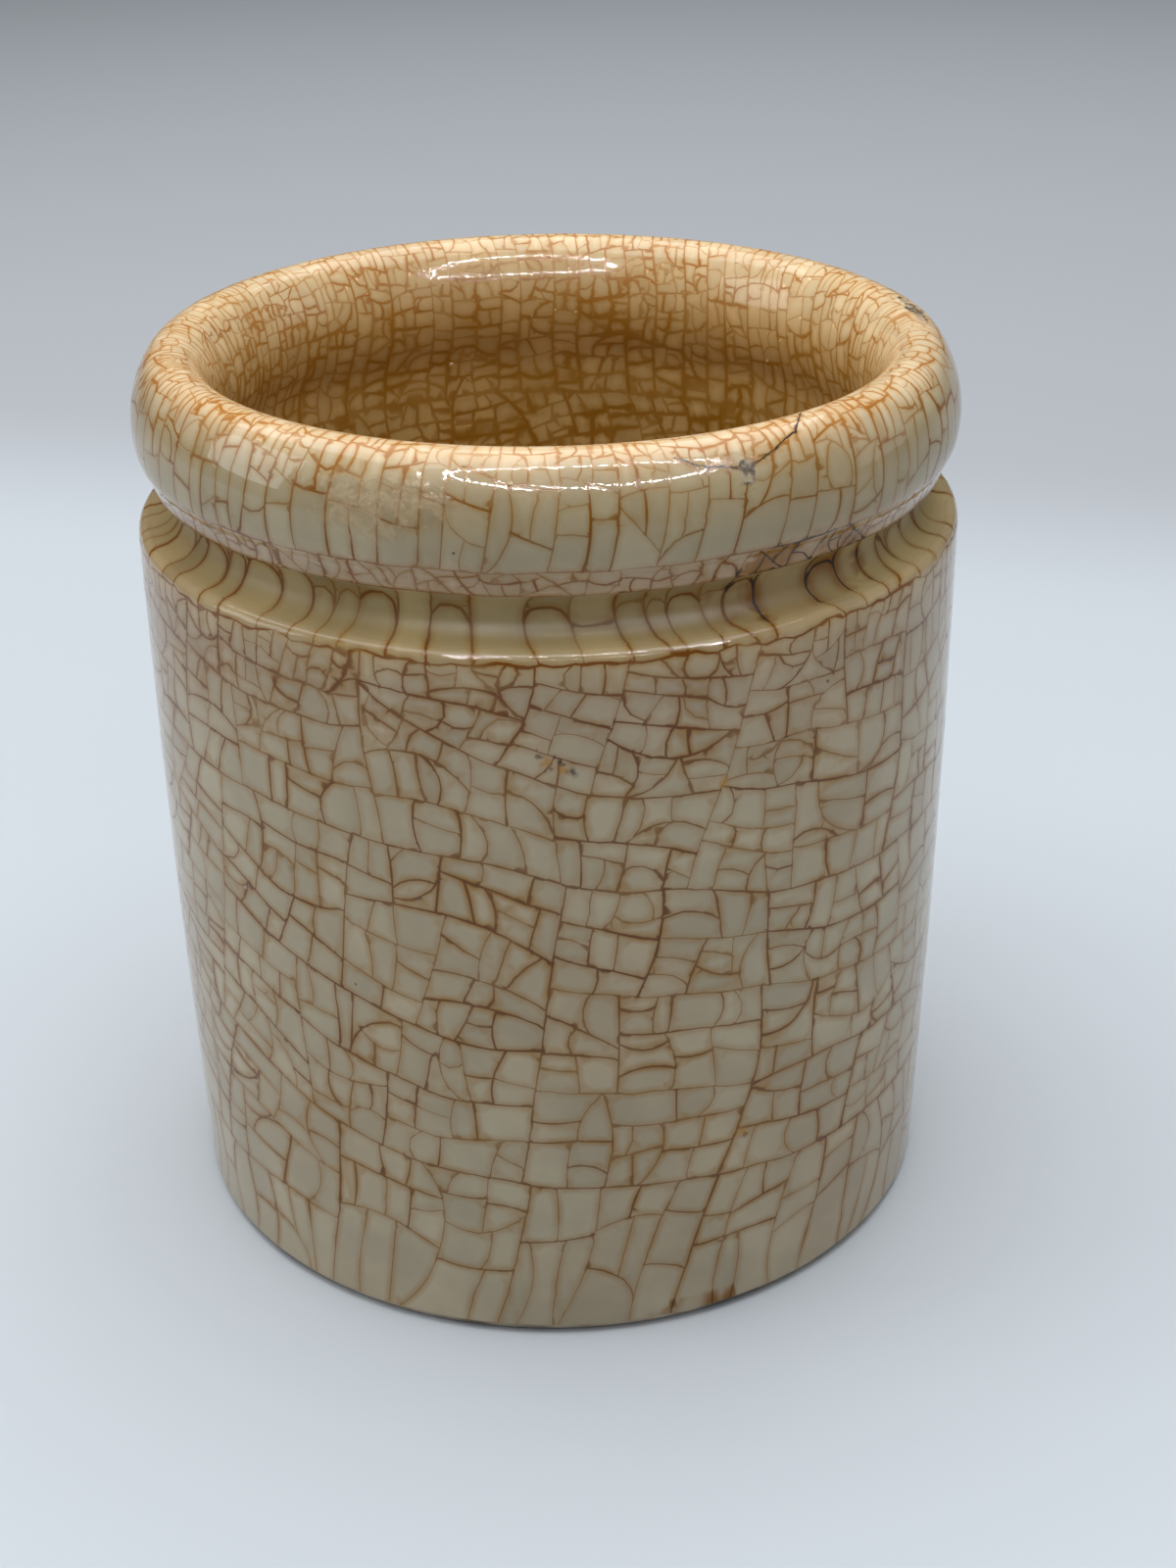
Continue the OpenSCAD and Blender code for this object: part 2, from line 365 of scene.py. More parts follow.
class Crazer:
    def __init__(self, bm, seed):
        self.bm = bm
        self.draws = {zone["name"]: random.Random(seed + zone["seed"]) for zone in zones}
        corners, edges = bm.verts.layers, bm.edges.layers
        self.lengthOf = corners.float["length"]
        self.spread = corners.float_vector.new("spread")
        self.stain = edges.float.new("stain")
        self.hair = edges.float.new("hairline")
        self.toneAndShade = bm.faces.layers.float.new("cellToneAndShade")
        self.away = corners.float.new("crackDistance")
        self.vertexStain = corners.float.new("crackStain")
        self.wear = corners.float_vector.new("wear")
        self.soot = corners.float.new("soot")
        self.cells = []
        for v in bm.verts:
            v[self.spread] = self.strayed(v)
        starts = [zone["start"] + 0.01 for zone in zones]
        groups = [[] for _ in zones]
        for f in bm.faces:
            groups[max(0, bisect_left(starts, self.lengthAt(f)) - 1)].append(f)
        self.hairline(groups)
        for zone, faces in zip(zones, groups):
            self.ringLine(faces, zone)
            for ring in self.rings(zone, faces):
                self.cells += self.sectors(zone, ring)

    def lengthAt(self, f):
        return sum(v[self.lengthOf] for v in f.verts) / len(f.verts)

    def spreadSum(self, f):
        return sum((v[self.spread] for v in f.verts), Vector())

    # One knock has started a dark crack across the rim
    def hairline(self, groups):
        path = hairCrack["path"]
        for (turnA, sA), (turnB, sB) in zip(path, path[1:]):
            r, middle = hairCrack["radius"], radians((turnA + turnB) / 2)
            out = around(middle, 1, 0)
            side = Vector((-sin(middle), cos(middle), 0))
            half = Vector((radians(turnB - turnA) * r / 2, (sB - sA) / 2))
            centre, along = (sA + sB) / 2, half.normalized()
            across = Vector((-along.y, along.x))
            for k, faces in enumerate(groups):
                near = []
                for f in faces:
                    c = f.calc_center_median()
                    spot = Vector((c.dot(side), self.lengthAt(f) - centre))
                    inLine = abs(spot.dot(along)) < half.length + hairCrack["beyond"]
                    if c.dot(out) > 0 and inLine and abs(spot.dot(across)) < hairCrack["beside"]:
                        near.append(f)
                if not near:
                    continue
                known = dict.fromkeys(near)
                corners = once(v for f in near for v in f.verts)
                flat = {v: Vector((v.co.dot(side), v[self.lengthOf] - centre)) for v in corners}
                offsets = {v: spot.dot(across) for v, spot in flat.items()}
                low, high = self.cut(near, None, 1.0, offsets, self.hair)
                groups[k] = [f for f in faces if f not in known] + low + high

    # Where a vertex lies once the cracks are pulled straight: plan position and length
    def strayed(self, v):
        turn, s = atan2(v.co.y, v.co.x), v[self.lengthOf]
        r = hypot(v.co.x, v.co.y)
        if s > pot.floor:
            r = pot.middle - s
        for k, (far, over) in enumerate(crazing["wander"]):
            spot = v.co / over + Vector((7.3 * k, 1.7, 3.1))
            turn += far * noise(spot) / max(r, 12.0)
            s += far * noise(spot + Vector((31.4, 15.9, 26.5)))
        return around(turn, r, s)

    # Stain along the ring where a stretch starts
    def ringLine(self, faces, zone):
        if not zone["line"]:
            return
        low = min(v[self.lengthOf] for f in faces for v in f.verts)
        for e in once(e for f in faces for e in f.edges):
            if all(v[self.lengthOf] < low + 0.02 for v in e.verts):
                spot = noise(e.verts[0].co * 0.11) + noise(e.verts[0].co * 0.37)
                e[self.stain] = min(1.0, max(0.03, zone["line"] * (0.7 + 0.9 * spot)))

    # Cuts faces where field(place) is zero, and returns the faces on either side
    def cut(self, faces, field, strength, values=None, mark=None):
        side = {}
        for v in once(v for f in faces for v in f.verts):
            value = values[v] if values else field(v[self.spread])
            side[v] = 0.0 if abs(value) < crazing["snap"] else value
        for e in once(e for f in faces for e in f.edges):
            a, b = e.verts
            if side[a] * side[b] < 0:
                made = bmesh.utils.edge_split(e, a, side[a] / (side[a] - side[b]))[1]
                side[made] = 0.0
        parts = ([], [])
        where = {}
        for f in faces:
            pieces = self.divide(f, side)
            for piece in pieces:
                where[piece] = sum(side[v] for v in piece.verts) > 0
                parts[where[piece]].append(piece)
        if not parts[0] or not parts[1]:
            return parts
        for e in once(e for f in where for e in f.edges):
            if side[e.verts[0]] == 0.0 and side[e.verts[1]] == 0.0:
                if len({where[f] for f in e.link_faces if f in where}) == 2:
                    spot = (e.verts[0].co + e.verts[1].co) / 2
                    faded = strength * (0.86 + 0.42 * noise(spot * 0.23))
                    faded *= min(1.0, 0.5 + (e.verts[0][self.lengthOf] - pot.foot) / 20)
                    e[self.stain] = max(e[self.stain], min(1.0, max(0.04, faded)))
                    if mark:
                        e[mark] = 1.0
        return parts

    # Splits one face between the vertices on the crack
    def divide(self, f, side):
        loop = list(f.verts)
        signs = [side[v] for v in loop]
        if min(signs) >= 0 or max(signs) <= 0:
            return [f]
        first = signs.index(0.0)
        loop = loop[first:] + loop[:first + 1]
        stops = [k for k, v in enumerate(loop) if side[v] == 0.0]
        pieces = [f]
        for i, j in zip(stops, stops[1:]):
            if j - i < 2 or side[loop[i + 1]] < 0 or loop[i] is loop[j]:
                continue
            for whole in pieces:
                corners = list(whole.verts)
                here = all(v in corners for v in (loop[i], loop[i + 1], loop[j]))
                if here and len(corners) > j - i + 1:
                    part = bmesh.utils.face_split(whole, loop[i], loop[j])[0]
                    pieces.append(part)
                    break
        return pieces

    def rings(self, zone, faces):
        rng, out, rest = self.draws[zone["name"]], [], faces
        spans = [v[self.spread].z for f in faces for v in f.verts]
        top, bottom = min(spans), max(spans)
        for k in range(zone["rings"]):
            s = top + (bottom - top) * (k + 1 + rng.uniform(-0.2, 0.2)) / (zone["rings"] + 1)
            lean = crazing["slope"] * rng.uniform(0.5, 1.1)
            way = crazing["slopeFrom"] + rng.uniform(-0.3, 0.3)
            towards = around(way, 1, 0)
            above, rest = self.cut(rest, lambda p: p.z - s + lean * p.dot(towards), zone["ring"])
            out.append(above)
        return [ring for ring in out + [rest] if ring]

    def sectors(self, zone, faces):
        rng, count = self.draws[zone["name"]], zone["sectors"]
        step = 2 * pi / count
        bins = [[] for _ in range(count)]
        spans = [v[self.spread].z for f in faces for v in f.verts]
        level = Vector((0, 0, (min(spans) + max(spans)) / 2))
        for f in faces:
            total = self.spreadSum(f)
            bins[int(atan2(total.y, total.x) % (2 * pi) / step) % count].append(f)
        cells = [[] for _ in bins]
        for k, near in enumerate(bins):
            turn = (k + 0.5 + rng.uniform(-0.3, 0.3)) * step
            tilt = zone["tilt"] * rng.uniform(0.2, 1.0)
            tangent = Vector((-sin(turn), cos(turn), tilt))
            strength = zone["stain"] * rng.uniform(0.45, 0.85)
            low, high = self.cut(near, lambda p: (p - level).dot(tangent), strength)
            cells[k - 1] += low
            cells[k] += high
        return [{"zone": zone, "faces": part, "level": 1} for part in cells if part]

    # Angle of the square grid that fits a cell's sides best, so that new cracks meet old ones squarely
    def grain(self, faces, side, down):
        uses = Counter(e for f in faces for e in f.edges)
        total = 0j
        for e, count in uses.items():
            if count == 1:
                run = e.verts[1][self.spread] - e.verts[0][self.spread]
                flat = complex(run.dot(side), run.dot(down))
                if abs(flat) > 1e-6:
                    total += flat ** 4 / abs(flat) ** 3
        return atan2(total.imag, total.real) / 4

    # One crack through a cell, or None where the cell is small enough
    def crack(self, cell):
        zone, faces = cell["zone"], cell["faces"]
        rng = self.draws[zone["name"]]
        weights = [f.calc_area() for f in faces]
        places = [self.spreadSum(f) / len(f.verts) for f in faces]
        area = sum(weights)
        middle = sum((p * w for p, w in zip(places, weights)), Vector()) / area
        wide, tall, loose = cellSize(sum(w * self.lengthAt(f) for w, f in zip(weights, faces)) / area)
        by, often = crazing["patches"]
        target = wide * tall * (1 + by * noise(middle * often))
        arched = zone["arches"] and rng.random() < zone["arches"] and "arched" not in cell
        small = area < target * rng.uniform(*crazing["sizes"]) or cell["level"] > crazing["levels"]
        if "gap" in cell or small and not arched:
            return None
        turn = atan2(middle.y, middle.x)
        side, down = Vector((-sin(turn), cos(turn), 0)), Vector((0, 0, 1))
        if zone["name"] == "floor":
            side, down = Vector((1, 0, 0)), Vector((0, 1, 0))
        lean = 0.0
        if zone["name"] in ("body", "band", "inside", "floor"):
            if area > crazing["leaning"] * target:
                lean = crazing["slope"] * sin(turn - crazing["slopeFrom"])
            else:
                lean = self.grain(faces, side, down)
            cells, wider = crazing["strips"]
            if area > cells * target and zone["name"] == "body" and tall < 1.4 * wide:
                wide *= wider
        side, down = side * cos(lean) + down * sin(lean), down * cos(lean) - side * sin(lean)
        spots = [((p - middle).dot(side) / wide, (p - middle).dot(down) / tall) for p in places]
        xx = sum(w * x * x for w, (x, y) in zip(weights, spots)) / area
        yy = sum(w * y * y for w, (x, y) in zip(weights, spots)) / area
        strength = zone["stain"] * max(0.5, 1.02 - 0.035 * cell["level"])
        strength *= rng.choice(crazing["fade"])
        if small:
            cell["arched"] = True
            run = [(p - middle).dot(side) for p in places]
            half = (max(run) - min(run)) / 2 + 0.4
            base = min(p.z for p in places) - 0.4
            rise = rng.uniform(*crazing["archRise"])
            x = (max(run) + min(run)) / 2
            return self.cut(faces, lambda p: half * (1 - (abs((p - middle).dot(side) - x) / half) ** 3
                                                     - (abs(p.z - base) / rise) ** 3), strength)
        curved = zone["name"] not in ("inside", "floor")
        below, often = crazing["arcs"]
        if curved and area < below * target and rng.random() < often:
            sx, sy = rng.choice((-1, 1)), rng.choice((-1, 1))
            corner = max(places, key=lambda p: sx * p.dot(side) / wide + sy * p.dot(down) / tall)
            radius = sqrt(area) * rng.uniform(0.62, 0.95)
            cx, cy = corner.dot(side), corner.dot(down)
            return self.cut(faces, lambda p: radius - hypot(p.dot(side) - cx, p.dot(down) - cy), strength)
        lie = (0.0 if xx > yy else pi / 2) + rng.gauss(0, loose * (0.5 if area > 5 * target else 1.0))
        across = side * (cos(lie) / wide) + down * (sin(lie) / tall)
        across.normalize()
        along = down * across.dot(side) - side * across.dot(down)
        reach, through = [
            sqrt(12 * sum(w * (p - middle).dot(axis) ** 2 for w, p in zip(weights, places)) / area)
            for axis in (along, across)]
        off = crazing["offCentre"]
        point = middle + across * (through * rng.uniform(-off, off))
        bow = rng.gauss(0, 0.04)
        below, often = crazing["bows"]
        if curved and area < below * target and rng.random() < often:
            bow = rng.choice((-1, 1)) * rng.uniform(*crazing["bow"])
        bend = 4 * bow / max(reach, 1.0)

        def way(p):
            return (p - point).dot(across) - bend * (p - point).dot(along) ** 2

        share = sum(w for w, p in zip(weights, places) if way(p) > 0) / area
        if not crazing["leastShare"] < share < 1 - crazing["leastShare"]:
            point, bend = middle, 0.0
        return self.cut(faces, way, strength)

    def run(self):
        done = 0
        while self.cells:
            cell = self.cells.pop()
            parts = self.crack(cell)
            if parts and (not parts[0] or not parts[1]):
                self.cells.append(dict(cell, faces=parts[0] or parts[1], level=cell["level"] + 2))
                continue
            if parts:
                self.cells += [dict(cell, faces=part, level=cell["level"] + 1) for part in parts]
                if "arched" in cell:
                    # The part outside the arch is kept whole and drawn darker: painted shade in the hollow
                    # under the roll
                    self.cells[-2]["gap"] = True
                continue
            rng = self.draws[cell["zone"]["name"]]
            # Cells outside the arches get a tone below zero, painted shade in the groove under the roll;
            # other cells get a random tone
            toneAndShade = rng.uniform(-1.9, -0.9) if "gap" in cell else rng.uniform(0.0, 1.0)
            for f in cell["faces"]:
                f[self.toneAndShade] = toneAndShade
            done += 1
        return done

    def crackEnds(self):
        return dict.fromkeys(v for e in self.bm.edges if e[self.stain] > 0 for v in e.verts)

    def refine(self, edges):
        bmesh.ops.subdivide_edges(self.bm, edges=edges, cuts=1)
        bmesh.ops.triangulate(self.bm, faces=[f for f in self.bm.faces if len(f.verts) > 3])

    # How far each vertex is from the nearest crack, and how stained that crack is
    def measure(self):
        bm = self.bm
        for _ in range(2):
            ends = self.crackEnds()
            self.refine([e for e in bm.edges if e[self.stain] <= 0 and all(v in ends for v in e.verts)])
        for _ in range(2):
            coarse = [e for e in bm.edges if e.calc_length() > 0.4]
            self.refine([e for e in coarse if all(self.nearChip(v) for v in e.verts)])
        ends = self.crackEnds()
        bmesh.ops.poke(bm, faces=[f for f in bm.faces if all(v in ends for v in f.verts)])
        self.unfold()
        ends = self.crackEnds()
        samples = []
        for e in bm.edges:
            if e[self.stain] > 0:
                a, b = e.verts[0].co, e.verts[1].co
                count = max(1, int((b - a).length / 0.12))
                samples += [(a.lerp(b, k / count), e[self.stain]) for k in range(count + 1)]
        tree = KDTree(len(samples))
        for k, (spot, _) in enumerate(samples):
            tree.insert(spot, k)
        tree.balance()
        away, stain = self.away, self.vertexStain
        bm.normal_update()
        for v in bm.verts:
            if v in ends:
                v[stain] = max(e[self.stain] for e in v.link_edges)
                if max(e[self.hair] for e in v.link_edges) > 0:
                    v[self.soot] = 1.0
            else:
                _, k, v[away] = tree.find(v.co)
                v[stain] = samples[k][1]
        for v in ends:
            v.co -= v.normal * (skin["crackDip"] * v[stain])
        for v in bm.verts:
            self.wearDown(v)
        bm.normal_update()

    # Two faces back to back on the same corners are a fold, and both go
    def unfold(self):
        folds = {}
        for f in self.bm.faces:
            folds.setdefault(frozenset(f.verts), []).append(f)
        pairs = [f for same in folds.values() for f in same[:len(same) // 2 * 2]]
        bmesh.ops.delete(self.bm, geom=pairs, context="FACES")

    # Distance from the middle of a mark, where its edge is 1
    def within(self, mark, v):
        away = (atan2(v.co.y, v.co.x) - radians(mark["turn"]) + pi) % (2 * pi) - pi
        across = away * hypot(v.co.x, v.co.y) / mark["wide"]
        return hypot(across, (v[self.lengthOf] - mark["length"]) / mark["tall"])

    def nearChip(self, v):
        return any(self.within(mark, v) < 1.7 for mark in blemishes if mark["kind"] == 0)

    # Chips, rubbed glaze and dirt, each an oval patch with a ragged edge
    def wearDown(self, v):
        for mark in blemishes:
            spot = self.within(mark, v)
            if spot > wearEdge["reach"]:
                continue
            for far, often in wearEdge["noise"]:
                spot += far * noise(v.co * often)
            amount = min(max((wearEdge["end"] - spot) / wearEdge["fade"], 0.0), 1.0)
            wear = v[self.wear].copy()
            wear[mark["kind"]] = max(wear[mark["kind"]], amount * mark["strength"])
            v[self.wear] = wear
            v.co -= v.normal * (amount * mark["depth"])


glazeSkin = makeSkin()
bmesh.ops.recalc_face_normals(glazeSkin, faces=glazeSkin.faces)
print(f"skin: {len(glazeSkin.faces)} faces")
crazer = Crazer(glazeSkin, crazing["seed"])
cellCount = crazer.run()
crazer.measure()
print(f"crazing: {cellCount} cells, {len(glazeSkin.faces)} faces")


# How the two coats are closed at the back
coat = {
    "backRows": 90,
    "rimReach": 1.6,  # edges this near in height, in mm, belong to the same rim of a coat
    "backAway": 2.0,  # distance to a crack that the plain back is given
}


def addObject(name, data):
    made = bpy.data.objects.new(name, data)
    bpy.context.collection.objects.link(made)
    return made


# One coat cut from the skin, closed with a back that lies a glaze's thickness behind it
def makeCoat(name, keep, backRows):
    bm = glazeSkin.copy()
    lengthOf = bm.verts.layers.float["length"]
    smooth = bm.verts.layers.float_vector.new("smoothNormal")
    away = bm.verts.layers.float["crackDistance"]
    for v in bm.verts:
        v[smooth] = v.normal
    dropped = [f for f in bm.faces if not keep(sum(v[lengthOf] for v in f.verts))]
    bmesh.ops.delete(bm, geom=dropped, context="FACES")
    front = len(bm.verts)
    back = rollUp(backRows, skin["steps"] // 2)
    backMesh = bpy.data.meshes.new("back")
    back.to_mesh(backMesh)
    back.free()
    known = dict.fromkeys(bm.verts)
    rims = [e for e in bm.edges if e.is_boundary]
    bm.from_mesh(backMesh)
    bpy.data.meshes.remove(backMesh)
    backRims = [e for e in bm.edges if e.is_boundary and e.verts[0] not in known]
    for z in sorted({round(e.verts[0].co.z) for e in backRims}):
        pair = [e for e in rims + backRims if abs(e.verts[0].co.z - z) < coat["rimReach"]]
        bmesh.ops.bridge_loops(bm, edges=pair)
    for e in rims:
        e.smooth = False
    for v in bm.verts:
        if v not in known:
            v[away] = coat["backAway"]
    bmesh.ops.triangulate(bm, faces=[f for f in bm.faces if len(f.verts) > 4])
    bmesh.ops.recalc_face_normals(bm, faces=bm.faces)
    bmesh.ops.scale(bm, vec=(mm, mm, mm), verts=bm.verts)
    seam = dict.fromkeys(v for e in rims for v in e.verts)
    normals = [v[smooth].copy() if v in seam else Vector() for v in bm.verts]
    mesh = bpy.data.meshes.new(name)
    bm.to_mesh(mesh)
    bm.free()
    mesh.polygons.foreach_set("use_smooth", [True] * len(mesh.polygons))
    mesh.normals_split_custom_set_from_vertices(normals)
    print(f"{name}: {len(mesh.polygons)} faces, {front} vertices on the front")
    return addObject(name, mesh)


def backOutline(start, end):
    count = coat["backRows"]
    rows = [start + (end - start) * k / count for k in range(count + 1)]
    spots = [(s, *sunkPoint(s, potForm["glazeT"])) for s in rows]
    return [(s, max(r, 0.0), z) for s, r, z in spots]


outerCoat = makeCoat("outerCoat", lambda s: s < 0, backOutline(pot.foot, -0.001))
innerCoat = makeCoat("innerCoat", lambda s: s > 0, backOutline(0.001, pot.middle))
glazeSkin.free()


# Adds nodes to one material and joins them
class Finish:
    def __init__(self, name):
        self.material = bpy.data.materials.new(name)
        self.material.use_nodes = True
        self.tree = self.material.node_tree
        self.shader = self.tree.nodes["Principled BSDF"]
        self.place = self.node("ShaderNodeTexCoord").outputs["Object"]

    def node(self, kind, inputs=None, **settings):
        made = self.tree.nodes.new(kind)
        for key, value in settings.items():
            setattr(made, key, value)
        for key, value in (inputs or {}).items():
            self.plug(made.inputs[key], value)
        return made

    def plug(self, socket, value):
        if isinstance(value, bpy.types.NodeSocket):
            self.tree.links.new(value, socket)
        else:
            socket.default_value = value

    # Sets one of the shader's own inputs
    def give(self, name, value):
        self.plug(self.shader.inputs[name], value)

    def attribute(self, name, output="Fac"):
        return self.node("ShaderNodeAttribute", attribute_name=name).outputs[output]

    def sum(self, operation, a, b=0.0, c=0.0):
        return self.node("ShaderNodeMath", {0: a, 1: b, 2: c}, operation=operation).outputs["Value"]

    def times(self, a, b):
        return self.sum("MULTIPLY", a, b)

    # a times b, plus c
    def scaled(self, a, b, c):
        return self.sum("MULTIPLY_ADD", a, b, c)

    def reach(self, value, low, high, toLow=0.0, toHigh=1.0):
        inputs = {"Value": value, "From Min": low, "From Max": high, "To Min": toLow, "To Max": toHigh}
        return self.node("ShaderNodeMapRange", inputs, interpolation_type="SMOOTHSTEP").outputs["Result"]

    # Soft noise whose patches are about size millimetres across
    def cloud(self, size, detail=3.0, shift=0.0):
        offset = (shift, shift * 0.7, -shift)
        moved = self.node("ShaderNodeMapping", {"Vector": self.place, "Location": offset}).outputs["Vector"]
        inputs = {"Vector": moved, "Scale": 1000.0 / size, "Detail": detail}
        return self.node("ShaderNodeTexNoise", inputs).outputs["Fac"]

    def blend(self, amount, a, b, kind="MIX"):
        made = self.node("ShaderNodeMix", {0: amount}, data_type="RGBA", blend_type=kind)
        sockets = [s for s in made.inputs if s.type == "RGBA"]
        self.plug(sockets[0], a)
        self.plug(sockets[1], b)
        return [s for s in made.outputs if s.type == "RGBA"][0]

    def ramp(self, value, stops):
        made = self.node("ShaderNodeValToRGB", {"Fac": value})
        marks = made.color_ramp.elements
        while len(marks) < len(stops):
            marks.new(0.5)
        for mark, (at, colour) in zip(marks, stops):
            mark.position = at
            mark.color = (*colour, 1)
        return made.outputs["Color"]

    def bump(self, height, depth, under=None):
        inputs = {"Strength": 1.0, "Distance": depth * mm, "Height": height}
        if under:
            inputs["Normal"] = under
        return self.node("ShaderNodeBump", inputs).outputs["Normal"]


# The glaze by length in mm from the crest: a cell's middle, the stain round a crack, the crack itself,
# then how far the stain spreads in mm, how strong it is and half the crack's width in mm
bodyTones = ((0.418, 0.353, 0.24), (0.3, 0.147, 0.014), (0.12, 0.031, 0.0005), (0.85, 1.0, 0.135))
glazeTones = [
    (pot.foot, (0.435, 0.365, 0.25), (0.31, 0.158, 0.024), (0.16, 0.045, 0.001), (0.85, 0.95, 0.135)),
    (pot.foot + 14, *bodyTones),
    (pot.shoulder - 14, *bodyTones),
    (pot.shoulder - 3, (0.4, 0.315, 0.21), (0.275, 0.135, 0.02), (0.13, 0.034, 0.0005), (0.7, 0.95, 0.125)),
    (pot.shoulder + 0.2, (0.46, 0.355, 0.21), (0.34, 0.195, 0.05), (0.18, 0.055, 0.002), (0.8, 0.9, 0.15)),
    (pot.shoulder + 3.0, (0.405, 0.31, 0.142), (0.3, 0.16, 0.022), (0.17, 0.055, 0.001), (0.9, 1.0, 0.22)),
    (pot.lip - 2.4, (0.425, 0.325, 0.15), (0.3, 0.15, 0.018), (0.17, 0.05, 0.001), (1.0, 1.0, 0.2)),
    (pot.lip + 0.3, (0.435, 0.32, 0.205), (0.31, 0.165, 0.05), (0.18, 0.05, 0.002), (0.7, 0.9, 0.125)),
    (pot.bandTop - 0.2, (0.445, 0.34, 0.222), (0.33, 0.18, 0.055), (0.19, 0.055, 0.002), (0.7, 0.85, 0.125)),
    (pot.bandTop + 1.5, (0.365, 0.308, 0.195), (0.265, 0.165, 0.045), (0.165, 0.052, 0.002),
     (0.7, 0.75, 0.135)),
    (-5.5, (0.43, 0.348, 0.21), (0.35, 0.205, 0.055), (0.23, 0.08, 0.004), (0.65, 0.8, 0.135)),
    (-1.5, (0.78, 0.63, 0.42), (0.63, 0.375, 0.14), (0.44, 0.165, 0.02), (0.65, 0.85, 0.125)),
    (4.0, (0.79, 0.62, 0.37), (0.65, 0.405, 0.16), (0.46, 0.18, 0.03), (0.7, 0.8, 0.12)),
    (10.0, (0.66, 0.455, 0.2), (0.48, 0.26, 0.055), (0.4, 0.18, 0.022), (0.9, 0.9, 0.22)),
    (pot.throat + 4, (0.6, 0.425, 0.18), (0.38, 0.195, 0.022), (0.32, 0.14, 0.01), (1.1, 1.0, 0.3)),
    (pot.middle, (0.585, 0.41, 0.17), (0.365, 0.185, 0.024), (0.3, 0.125, 0.01), (1.3, 1.0, 0.32)),
]
creamGlaze = {"name": "creamGlaze", "pink": 0.35, "roughness": 0.035}
stainedGlaze = {"name": "stainedGlaze", "pink": 0.3, "roughness": 0.05}

glazeTints = {
    "pink": (0.94, 0.8, 0.7, 1),
    "soot": (0.02, 0.012, 0.006, 1),
    "grit": (0.23, 0.14, 0.075, 1),
    "smudge": (0.24, 0.095, 0.003, 1),
    "dirtyCrack": (0.036, 0.014, 0.002, 1),
    "worn": [(0.36, (0.16, 0.09, 0.03)), (0.45, (0.3, 0.19, 0.085)), (0.56, (0.44, 0.32, 0.18)),
             (0.7, (0.33, 0.21, 0.1))],
    "chip": [(0.4, (0.085, 0.062, 0.038)), (0.5, (0.19, 0.145, 0.09)), (0.6, (0.42, 0.34, 0.23))],
}

# Pits and specks, as (turn in degrees, length from the crest, size in mm, colour)
brown, rust = (0.07, 0.032, 0.01), (0.42, 0.2, 0.03)
glazeSpots = [
    (-91.0, -34.0, 1.7, rust), (-88.9, -34.9, 1.5, rust), (-91.8, -33.5, 0.95, brown),
    (-87.9, -35.1, 1.2, brown), (-89.4, -34.1, 0.7, brown), (-90.4, -34.7, 0.6, brown),
    (-88.9, -34.4, 0.6, brown), (-90.0, -33.6, 0.45, brown), (-63.9, -78.4, 0.9, brown),
    (-64.4, -78.0, 1.5, rust), (-68.3, -38.0, 1.5, rust), (-52.8, -30.6, 0.4, brown),
    (-48.6, -28.4, 0.35, brown), (-71.5, -9.0, 0.3, brown), (-101.5, -10.2, 0.28, brown),
    (-76.0, -70.0, 0.45, rust), (-118.0, -60.0, 0.35, brown), (140.0, -45.0, 0.6, brown),
    (35.0, -60.0, 0.5, rust), (95.0, -70.0, 0.7, brown), (-170.0, -40.0, 0.4, brown),
]


